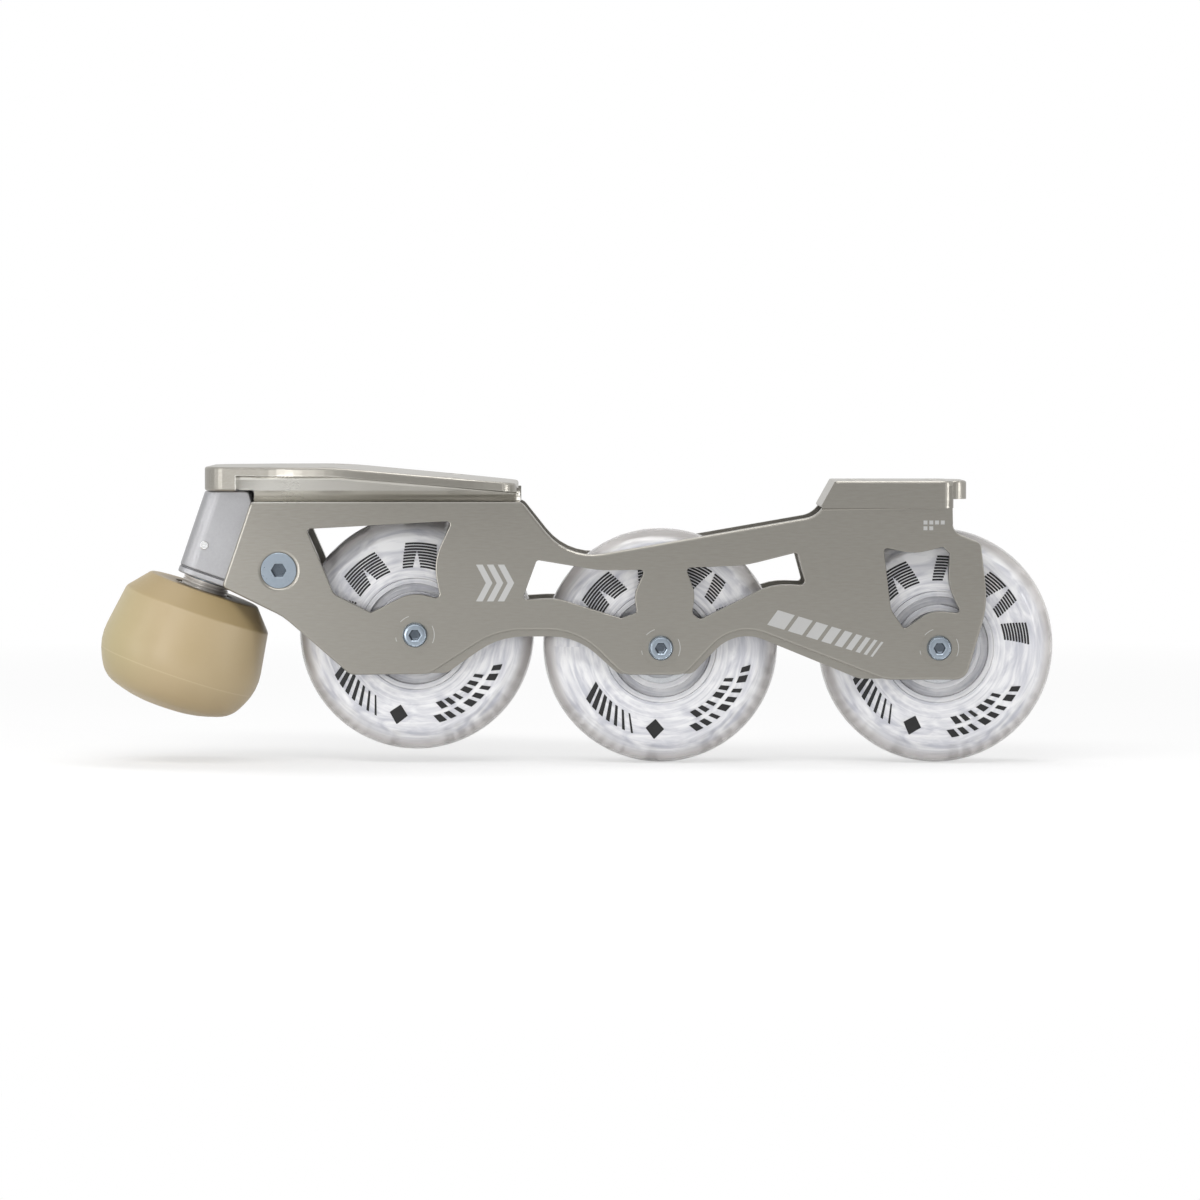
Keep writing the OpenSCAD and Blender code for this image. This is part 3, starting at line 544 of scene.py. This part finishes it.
def on_outline(x, y, z):
    by_axle = any(math.hypot(x - a.x / MM, z - a.z / MM) < AXLE_CLEAR for a in axles.values())
    on_wall = abs(abs(y) - WALL_FACE) < ON_FACE and z < LEDGE_Z and not by_axle
    on_sole = x < SOLE_END and z > SOLE_RIM - max(0.0, x - SOLE_BEND) * SOLE_SLOPE
    on_heel = x > HEEL_FRONT and z > HEEL_TOP
    on_nose = x < NOSE_END and abs(z - NOSE_UNDERSIDE) < ON_UNDERSIDE
    return on_wall or on_sole or on_heel or on_nose


def in_window(spot):
    return any(x0 < spot.x < x1 and z0 < spot.z < z1 for x0, x1, z0, z1 in WINDOWS)


def edge_name(edge, points):
    return frozenset(tuple(round(c / MM, 3) for c in points[i].co) for i in edge)


body = nodes["frame"].data
joined = bmesh.new()
joined.from_mesh(body)
bmesh.ops.remove_doubles(joined, verts=joined.verts, dist=WELD_GAP * MM)
joined.verts.ensure_lookup_table()
clear_edges = {
    edge_name([v.index for v in edge.verts], joined.verts)
    for edge in joined.edges
    if edge.is_manifold and edge.calc_face_angle() > math.radians(SHARP)
}
joined.free()
outline = [on_outline(*(v.co / MM)) for v in body.vertices]
print("clear edges:", len(clear_edges), "points on outlines:", sum(outline))

# %% Round the frame's outlines
OUTER_ROUND, WINDOW_ROUND = 0.7, 0.3
weights = body.attributes.new("bevel_weight_edge", "FLOAT", "EDGE")
for edge in body.edges:
    if all(outline[i] for i in edge.vertices) and edge_name(edge.vertices, body.vertices) in clear_edges:
        ends = [body.vertices[i].co / MM for i in edge.vertices]
        weights.data[edge.index].value = WINDOW_ROUND / OUTER_ROUND if all(map(in_window, ends)) else 1.0
round_edges(nodes["frame"], OUTER_ROUND, 3, "WEIGHT")
even_shading(nodes["frame"])
print("edges picked:", sum(w.value > 0 for w in weights.data))

# %% [markdown]
# ## Print on the wheels
# The tyres carry a black print on both sides. Here it is a plain design of striped blocks, bars, a lozenge
# and dashes. Each mark is a thin patch that lies just proud of the tyre's sloping side, because a decal that
# shares the same plane would flicker. The side's slope comes from two measured points.


# %% Patches on a tyre's side
def new_piece(name, bm, finish):
    mesh = bpy.data.meshes.new(name)
    bm.to_mesh(mesh)
    bm.free()
    mesh.materials.append(finish)
    piece = bpy.data.objects.new(name, mesh)
    bpy.context.collection.objects.link(piece)
    return piece


INK_PROUD, ARC_STEP = 0.05, 2.5
# Radius, and distance from the wheel's middle plane, at both ends of the sloping side.
SIDE_HUB, SIDE_RIM = (17.0, 12.0), (29.5, 11.0)


def side_y(radius_mm):
    share = (radius_mm - SIDE_HUB[0]) / (SIDE_RIM[0] - SIDE_HUB[0])
    return SIDE_HUB[1] + (SIDE_RIM[1] - SIDE_HUB[1]) * share + INK_PROUD


def arc_patch(bm, centre, side, radii, span, outer_span=None):
    # The inner edge runs over one span of degrees, the outer edge over the same or another one.
    spans = (span, outer_span or span)
    steps = max(1, math.ceil(max(end - start for start, end in spans) / ARC_STEP))
    rows = []
    for radius, (start, end) in zip(radii, spans):
        row = []
        for i in range(steps + 1):
            angle = math.radians(start + (end - start) * i / steps)
            spot = Vector((radius * math.cos(angle), side * side_y(radius), radius * math.sin(angle)))
            row.append(bm.verts.new(centre + spot * MM))
        rows.append(row)
    for i in range(steps):
        corners = [rows[0][i], rows[0][i + 1], rows[1][i + 1], rows[1][i]]
        bm.faces.new(corners if side > 0 else corners[::-1])


print("side of the tyre at radius 25 mm:", round(side_y(25.0), 2), "mm from the middle")

# %% Striped blocks, bars, lozenge and dashes
# Angles are in degrees round the wheel, radii and widths outward in mm.
BLOCKS, BLOCKS_FROM, BLOCK_STEP, BLOCK_WIDE, BLOCK_NARROW, BLOCK_LEAN = 8, 12, 20, 14, 9, 5
STRIPES, STRIPES_FROM, STRIPE_STEP, STRIPE_WIDE = 9, 20.3, 0.88, 0.62
BARS, BARS_FROM, BAR_STEP, BAR_WIDE, BAR_THINNER, BAR_SLANT, BAR_RADII = 7, 200, 6, 4.2, 0.45, 7, (22.4, 27.8)
LOZENGE_AT, LOZENGE_TIP, LOZENGE_HALF, LOZENGE_RADII = 258, 0.3, 6.5, (22.2, 25.2, 28.2)
DASHES_FROM, DASH_SHIFT, DASH_STEP, DASH_WIDE, DASH_SLANT, DASH_TALL = 282, 4, 7.4, 5.0, 3, 2.5
DASH_ROWS = ((25.6, 8), (21.8, 6))
PRINT_TURNS = {"front": 0, "middle": 8, "rear": -6}


def upper_print(bm, centre, side, turn):
    # A crown of striped blocks that lean to and fro.
    for block in range(BLOCKS):
        start = turn + BLOCKS_FROM + block * BLOCK_STEP
        wide = BLOCK_NARROW if block % 3 == 1 else BLOCK_WIDE
        for stripe in range(STRIPES):
            inner = STRIPES_FROM + stripe * STRIPE_STEP
            lean = (BLOCK_LEAN if block % 2 else -BLOCK_LEAN) * stripe / STRIPES
            span = (start + lean, start + lean + wide)
            arc_patch(bm, centre, side, (inner, inner + STRIPE_WIDE), span)


def lower_print(bm, centre, side, turn):
    # Slanted bars that thin out, a lozenge of two halves, and two rows of dashes.
    for bar in range(BARS):
        start, wide = turn + BARS_FROM + bar * BAR_STEP, BAR_WIDE - bar * BAR_THINNER
        slanted = (start + BAR_SLANT, start + BAR_SLANT + wide)
        arc_patch(bm, centre, side, BAR_RADII, (start, start + wide), slanted)
    middle = turn + LOZENGE_AT
    tip, broad = ((middle - half, middle + half) for half in (LOZENGE_TIP, LOZENGE_HALF))
    arc_patch(bm, centre, side, LOZENGE_RADII[:2], tip, broad)
    arc_patch(bm, centre, side, LOZENGE_RADII[1:], broad, tip)
    for row, (inner, count) in enumerate(DASH_ROWS):
        for dash in range(count):
            start = turn + DASHES_FROM + row * DASH_SHIFT + dash * DASH_STEP
            wide = DASH_WIDE - dash % 3
            slanted = (start + DASH_SLANT, start + DASH_SLANT + wide)
            arc_patch(bm, centre, side, (inner, inner + DASH_TALL), (start, start + wide), slanted)


def wheel_print(wheel, turn):
    bm = bmesh.new()
    for side in (-1, 1):
        upper_print(bm, axles[wheel], side, turn)
        lower_print(bm, axles[wheel], side, turn)
    piece = new_piece(f"print_{wheel}", bm, print_ink)
    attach(piece, f"wheel_{wheel}")
    return piece


for wheel, turn in PRINT_TURNS.items():
    print(wheel, "print faces:", len(wheel_print(wheel, turn).data.polygons))

# %% [markdown]
# ## Marks on the walls
# A laser burned pale marks into the dyed skin of both walls: a fading row of slanted bars toward the heel,
# three chevrons over the front arch and a few small squares by the heel plate. Turning the axle heads has
# also rubbed short bright arcs around them. A mark like this has no depth that shows, so it is a thin flat
# patch just proud of the wall, with the bare metal's finish.

# %% Etched marks
MARK_PROUD = 0.03
MARK_WIDTHS = (5.4, 4.5, 3.7, 3.0, 2.4, 1.9, 1.4, 1.0, 0.7)
MARKS_AT, MARKS_SLOPE, MARK_TALL, MARK_LEAN, MARK_GAP = (151.5, -45.6), math.radians(-17.0), 5.2, 1.8, 1.2
SQUARES_AT, SQUARE_STEP, SQUARE_SIDE, SQUARE_ROWS = (198.2, -17.6), 1.75, 1.2, (4, 2)
CHEVRONS, CHEVRONS_AT, CHEVRON_TALL = 3, (62.2, -35.4), 5.6
CHEVRON_STEP, CHEVRON_POINT, CHEVRON_WIDE = 3.3, 3.0, 2.0


def wall_patch(bm, side, corners):
    spots = [bm.verts.new(Vector((x, side * (WALL_FACE + MARK_PROUD), z)) * MM) for x, z in corners]
    bm.faces.new(spots if side < 0 else spots[::-1])


def fading_bars(bm, side):
    along = Vector((math.cos(MARKS_SLOPE), math.sin(MARKS_SLOPE)))
    up = Vector((-along.y, along.x))
    reach = 0.0
    for width in MARK_WIDTHS:
        foot = Vector(MARKS_AT) + along * reach - up * MARK_TALL / 2
        top = foot + up * MARK_TALL + along * MARK_LEAN
        wall_patch(bm, side, (foot, foot + along * width, top + along * width, top))
        reach += width + MARK_GAP


def small_squares(bm, side):
    for row, count in enumerate(SQUARE_ROWS):
        for square in range(count):
            left, low = SQUARES_AT[0] + square * SQUARE_STEP, SQUARES_AT[1] - row * SQUARE_STEP
            right, high = left + SQUARE_SIDE, low + SQUARE_SIDE
            wall_patch(bm, side, ((left, low), (right, low), (right, high), (left, high)))


def chevrons(bm, side):
    x, z = CHEVRONS_AT
    for step in range(CHEVRONS):
        left = x + step * CHEVRON_STEP
        point = left + CHEVRON_POINT
        for half in (1, -1):
            end_z = z + half * CHEVRON_TALL
            arm = ((point, z), (point + CHEVRON_WIDE, z), (left + CHEVRON_WIDE, end_z), (left, end_z))
            wall_patch(bm, side, arm if half > 0 else arm[::-1])


print("bars in the fading row:", len(MARK_WIDTHS))

# %% Rubbed arcs, and all marks as one piece
RUBBED = ((-25, 28), (108, 138), (188, 200))
RUBBED_R, RUBBED_STEP = (5.8, 6.0), 6


def rubbed_arcs(bm, side):
    inner, outer = RUBBED_R
    for axle in axles.values():
        for start, end in RUBBED:
            steps = max(2, (end - start) // RUBBED_STEP)
            for i in range(steps):
                a, b = (math.radians(start + (end - start) * k / steps) for k in (i, i + 1))
                rim = [
                    (axle.x / MM + r * math.cos(t), axle.z / MM + r * math.sin(t))
                    for r, t in ((inner, a), (outer, a), (outer, b), (inner, b))
                ]
                wall_patch(bm, side, rim)


bm = bmesh.new()
for side in (-1, 1):
    fading_bars(bm, side)
    small_squares(bm, side)
    chevrons(bm, side)
    rubbed_arcs(bm, side)
marks = new_piece("wall_marks", bm, etched_metal)
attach(marks, "frame")
print("mark faces:", len(marks.data.polygons))

# %% [markdown]
# ## Set screw
# A small set screw in the side of the block stops the stem from turning. Only its end shows: a low disc with
# a rounded rim and a hexagon socket. A few rings of points, joined one to the next, make it as one mesh.

# %% Set screw in the block
SCREW_AT = Vector((-20.7, -13.4, -24.1))
# Each ring of the rim: its radius, and how far it stands proud of the block.
RIM_PROFILE = ((1.3, 0.0), (1.3, 0.2), (1.15, 0.35))
SOCKET_R, SOCKET_FLOOR = 0.72, 0.08
RING_POINTS = 24
SIXTH = math.pi / 3


def screw_ring(bm, radius, proud, hexagon):
    ring = []
    for i in range(RING_POINTS):
        angle = 2 * math.pi * i / RING_POINTS
        # A hexagon is drawn with the same number of points as the round rim.
        shrink = math.cos(SIXTH / 2) / math.cos(angle % SIXTH - SIXTH / 2) if hexagon else 1.0
        r = radius * shrink
        spot = SCREW_AT + Vector((r * math.cos(angle), -proud, r * math.sin(angle)))
        ring.append(bm.verts.new(spot * MM))
    return ring


bm = bmesh.new()
loops = [screw_ring(bm, r, proud, False) for r, proud in RIM_PROFILE]
loops += [screw_ring(bm, SOCKET_R, proud, True) for proud in (RIM_PROFILE[-1][1], SOCKET_FLOOR)]
for lower, upper in zip(loops, loops[1:]):
    for i in range(RING_POINTS):
        j = (i + 1) % RING_POINTS
        bm.faces.new((lower[i], lower[j], upper[j], upper[i]))
bm.faces.new(loops[-1])
bmesh.ops.recalc_face_normals(bm, faces=bm.faces)
# The near-white finish on the screw's end is a painted glint.
screw = new_piece("block_set_screw", bm, nickel_painted_glint)
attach(screw, "frame")
print("set screw faces:", len(screw.data.polygons))

# %% [markdown]
# ## Studio floor
# The object stands on pale paper. Near the object the paper shows its own light and shadow; further away it
# fades to plain white, so that no horizon shows. Light Path tells the rays apart: what the camera sees may
# glow a little, while the light that bounces onto the object stays that of matt paper.

# %% Floor
# The studio's lengths are in metres.
WHEEL_R = 36.0 * MM
FLOOR_X, FLOOR_Z, FLOOR_HALF = 0.1, axles["rear"].z - WHEEL_R, 6.0
FADE_FROM, FADE_GLOW, MIRROR_GLOW = (0.15, 0.7), (0.55, 1.0), 0.6
paper = new_material("studio_paper")
path = add(paper, "ShaderNodeLightPath").outputs
matt = add(paper, "ShaderNodeBsdfDiffuse", {"Color": linear("#F6F6F6")}).outputs["BSDF"]
glow = add(paper, "ShaderNodeEmission", {"Color": linear("#FFFFFF"), "Strength": 1.0}).outputs["Emission"]
seen = add(
    paper, "ShaderNodeMath", {0: path["Is Camera Ray"], 1: path["Is Transmission Ray"]}, operation="MAXIMUM"
).outputs["Value"]
mirrored = add(
    paper, "ShaderNodeMath", {0: path["Is Glossy Ray"], 1: MIRROR_GLOW}, operation="MULTIPLY"
).outputs["Value"]
seen = add(paper, "ShaderNodeMath", {0: seen, 1: mirrored}, operation="MAXIMUM").outputs["Value"]
place = add(paper, "ShaderNodeTexCoord").outputs["Object"]
away = add(paper, "ShaderNodeVectorMath", {0: place}, operation="LENGTH").outputs["Value"]
fade = add(
    paper, "ShaderNodeMapRange",
    {
        "Value": away, "From Min": FADE_FROM[0], "From Max": FADE_FROM[1],
        "To Min": FADE_GLOW[0], "To Max": FADE_GLOW[1],
    },
).outputs["Result"]
share = add(paper, "ShaderNodeMath", {0: seen, 1: fade}, operation="MULTIPLY").outputs["Value"]
blend = add(paper, "ShaderNodeMixShader", {"Fac": share, 1: matt, 2: glow}).outputs["Shader"]
# From below the paper is clear, so that the underside can be looked at too.
below = add(paper, "ShaderNodeNewGeometry").outputs["Backfacing"]
clear = add(paper, "ShaderNodeBsdfTransparent").outputs["BSDF"]
blend = add(paper, "ShaderNodeMixShader", {"Fac": below, 1: blend, 2: clear}).outputs["Shader"]
add(paper, "ShaderNodeOutputMaterial", {"Surface": blend})
bm = bmesh.new()
bmesh.ops.create_grid(bm, x_segments=4, y_segments=4, size=FLOOR_HALF)
floor = new_piece("floor", bm, paper)
floor.location = (FLOOR_X, 0.0, FLOOR_Z)
print("floor at", round(FLOOR_Z / MM, 1), "mm")

# %% [markdown]
# ## World
# The camera sees plain white all round. A mirror sees a room that is dimmer in front than behind and
# overhead, which gives the metal its grey. Clear materials see dark flags at both sides, which give a clear
# rim its darker edges. Matt surfaces get half the light, because the lamps light them.

# %% World
ROOM_DIM, ROOM_BEHIND, ROOM_ABOVE = 0.42, (-0.6, 0.3), (0.2, 0.8)
MATT_LEVEL = 0.5
FLAG_FROM, FLAG_LEVEL = (0.3, 0.7), 0.3
world = bpy.data.worlds.new("studio")
world.use_nodes = True
world.node_tree.nodes.clear()
path = add(world, "ShaderNodeLightPath").outputs
way = add(world, "ShaderNodeTexCoord").outputs["Generated"]
toward = add(world, "ShaderNodeSeparateXYZ", {"Vector": way}).outputs
behind, above = (
    add(
        world, "ShaderNodeMapRange",
        {"Value": toward[axis], "From Min": low, "From Max": high, "To Min": ROOM_DIM, "To Max": 1.0},
    ).outputs["Result"]
    for axis, (low, high) in (("Y", ROOM_BEHIND), ("Z", ROOM_ABOVE))
)
room = add(world, "ShaderNodeMath", {0: behind, 1: above}, operation="MAXIMUM").outputs["Value"]
sideways = add(world, "ShaderNodeMath", {0: toward["X"]}, operation="ABSOLUTE").outputs["Value"]
flags = add(
    world, "ShaderNodeMapRange",
    {
        "Value": sideways, "From Min": FLAG_FROM[0], "From Max": FLAG_FROM[1],
        "To Min": 1.0, "To Max": FLAG_LEVEL,
    },
).outputs["Result"]
level = MATT_LEVEL
for ray, seen in (("Is Glossy Ray", room), ("Is Transmission Ray", flags), ("Is Camera Ray", 1.0)):
    level = add(
        world, "ShaderNodeMix", {"Factor": path[ray], "A": level, "B": seen}, data_type="FLOAT"
    ).outputs["Result"]
air = add(world, "ShaderNodeBackground", {"Color": linear("#FFFFFF"), "Strength": level})
add(world, "ShaderNodeOutputWorld", {"Surface": air.outputs["Background"]})
bpy.context.scene.world = world
print("world:", world.name)

# %% [markdown]
# ## Lamps
# Large area lamps give the long soft highlights that show a satin metal's edges. The key and the top lamp are
# long and lie roughly along the frame, the two strips stand at its ends, and a small lamp lifts its front.
# The camera doesn't see them.

# %% Lamps
MIDDLE, FRONT = (0.1, 0.0, -0.03), (-0.02, 0.0, -0.03)
LAMPS = (
    # name, place, aim, width and height in metres, power in watts
    ("key", (-0.15, -0.7, 0.85), MIDDLE, (1.1, 0.2), 5.0),
    ("left_strip", (-1.0, -0.5, 0.1), MIDDLE, (0.12, 0.7), 2.5),
    ("right_strip", (1.2, -0.45, 0.1), MIDDLE, (0.12, 0.7), 3.5),
    ("front_left", (-0.17, -0.36, 0.0), FRONT, (0.1, 0.2), 0.38),
    ("top", (0.15, 0.1, 1.0), MIDDLE, (1.0, 0.25), 4.0),
)


def aimed(name, content, spot, aim):
    holder = bpy.data.objects.new(name, content)
    holder.location = spot
    holder.rotation_euler = (Vector(aim) - Vector(spot)).to_track_quat("-Z", "Y").to_euler()
    bpy.context.collection.objects.link(holder)
    return holder


for name, spot, aim, size, power in LAMPS:
    lamp = bpy.data.lights.new(name, "AREA")
    lamp.shape = "RECTANGLE"
    lamp.size, lamp.size_y = size
    lamp.energy = power
    aimed(name, lamp, spot, aim).visible_camera = False

# %% [markdown]
# ## Camera
# The picture is taken with a long lens, almost square on to the side and a little above, so lines hardly
# converge. The lens follows from the width of the field at the object, on a 36 mm sensor.

# %% Camera
SPOT, AIM = Vector((0.0999, -1.5, 0.029)), Vector((0.0999, 0.0, -0.0414))
SENSOR, FIELD = 36.0, 0.3692
camera = bpy.data.cameras.new("camera")
camera.sensor_width = SENSOR
camera.lens = SENSOR * (AIM - SPOT).length / FIELD
scene = bpy.context.scene
scene.camera = aimed("camera", camera, SPOT, AIM)
scene.view_settings.view_transform = "Standard"
print("lens", round(camera.lens, 1), "mm")
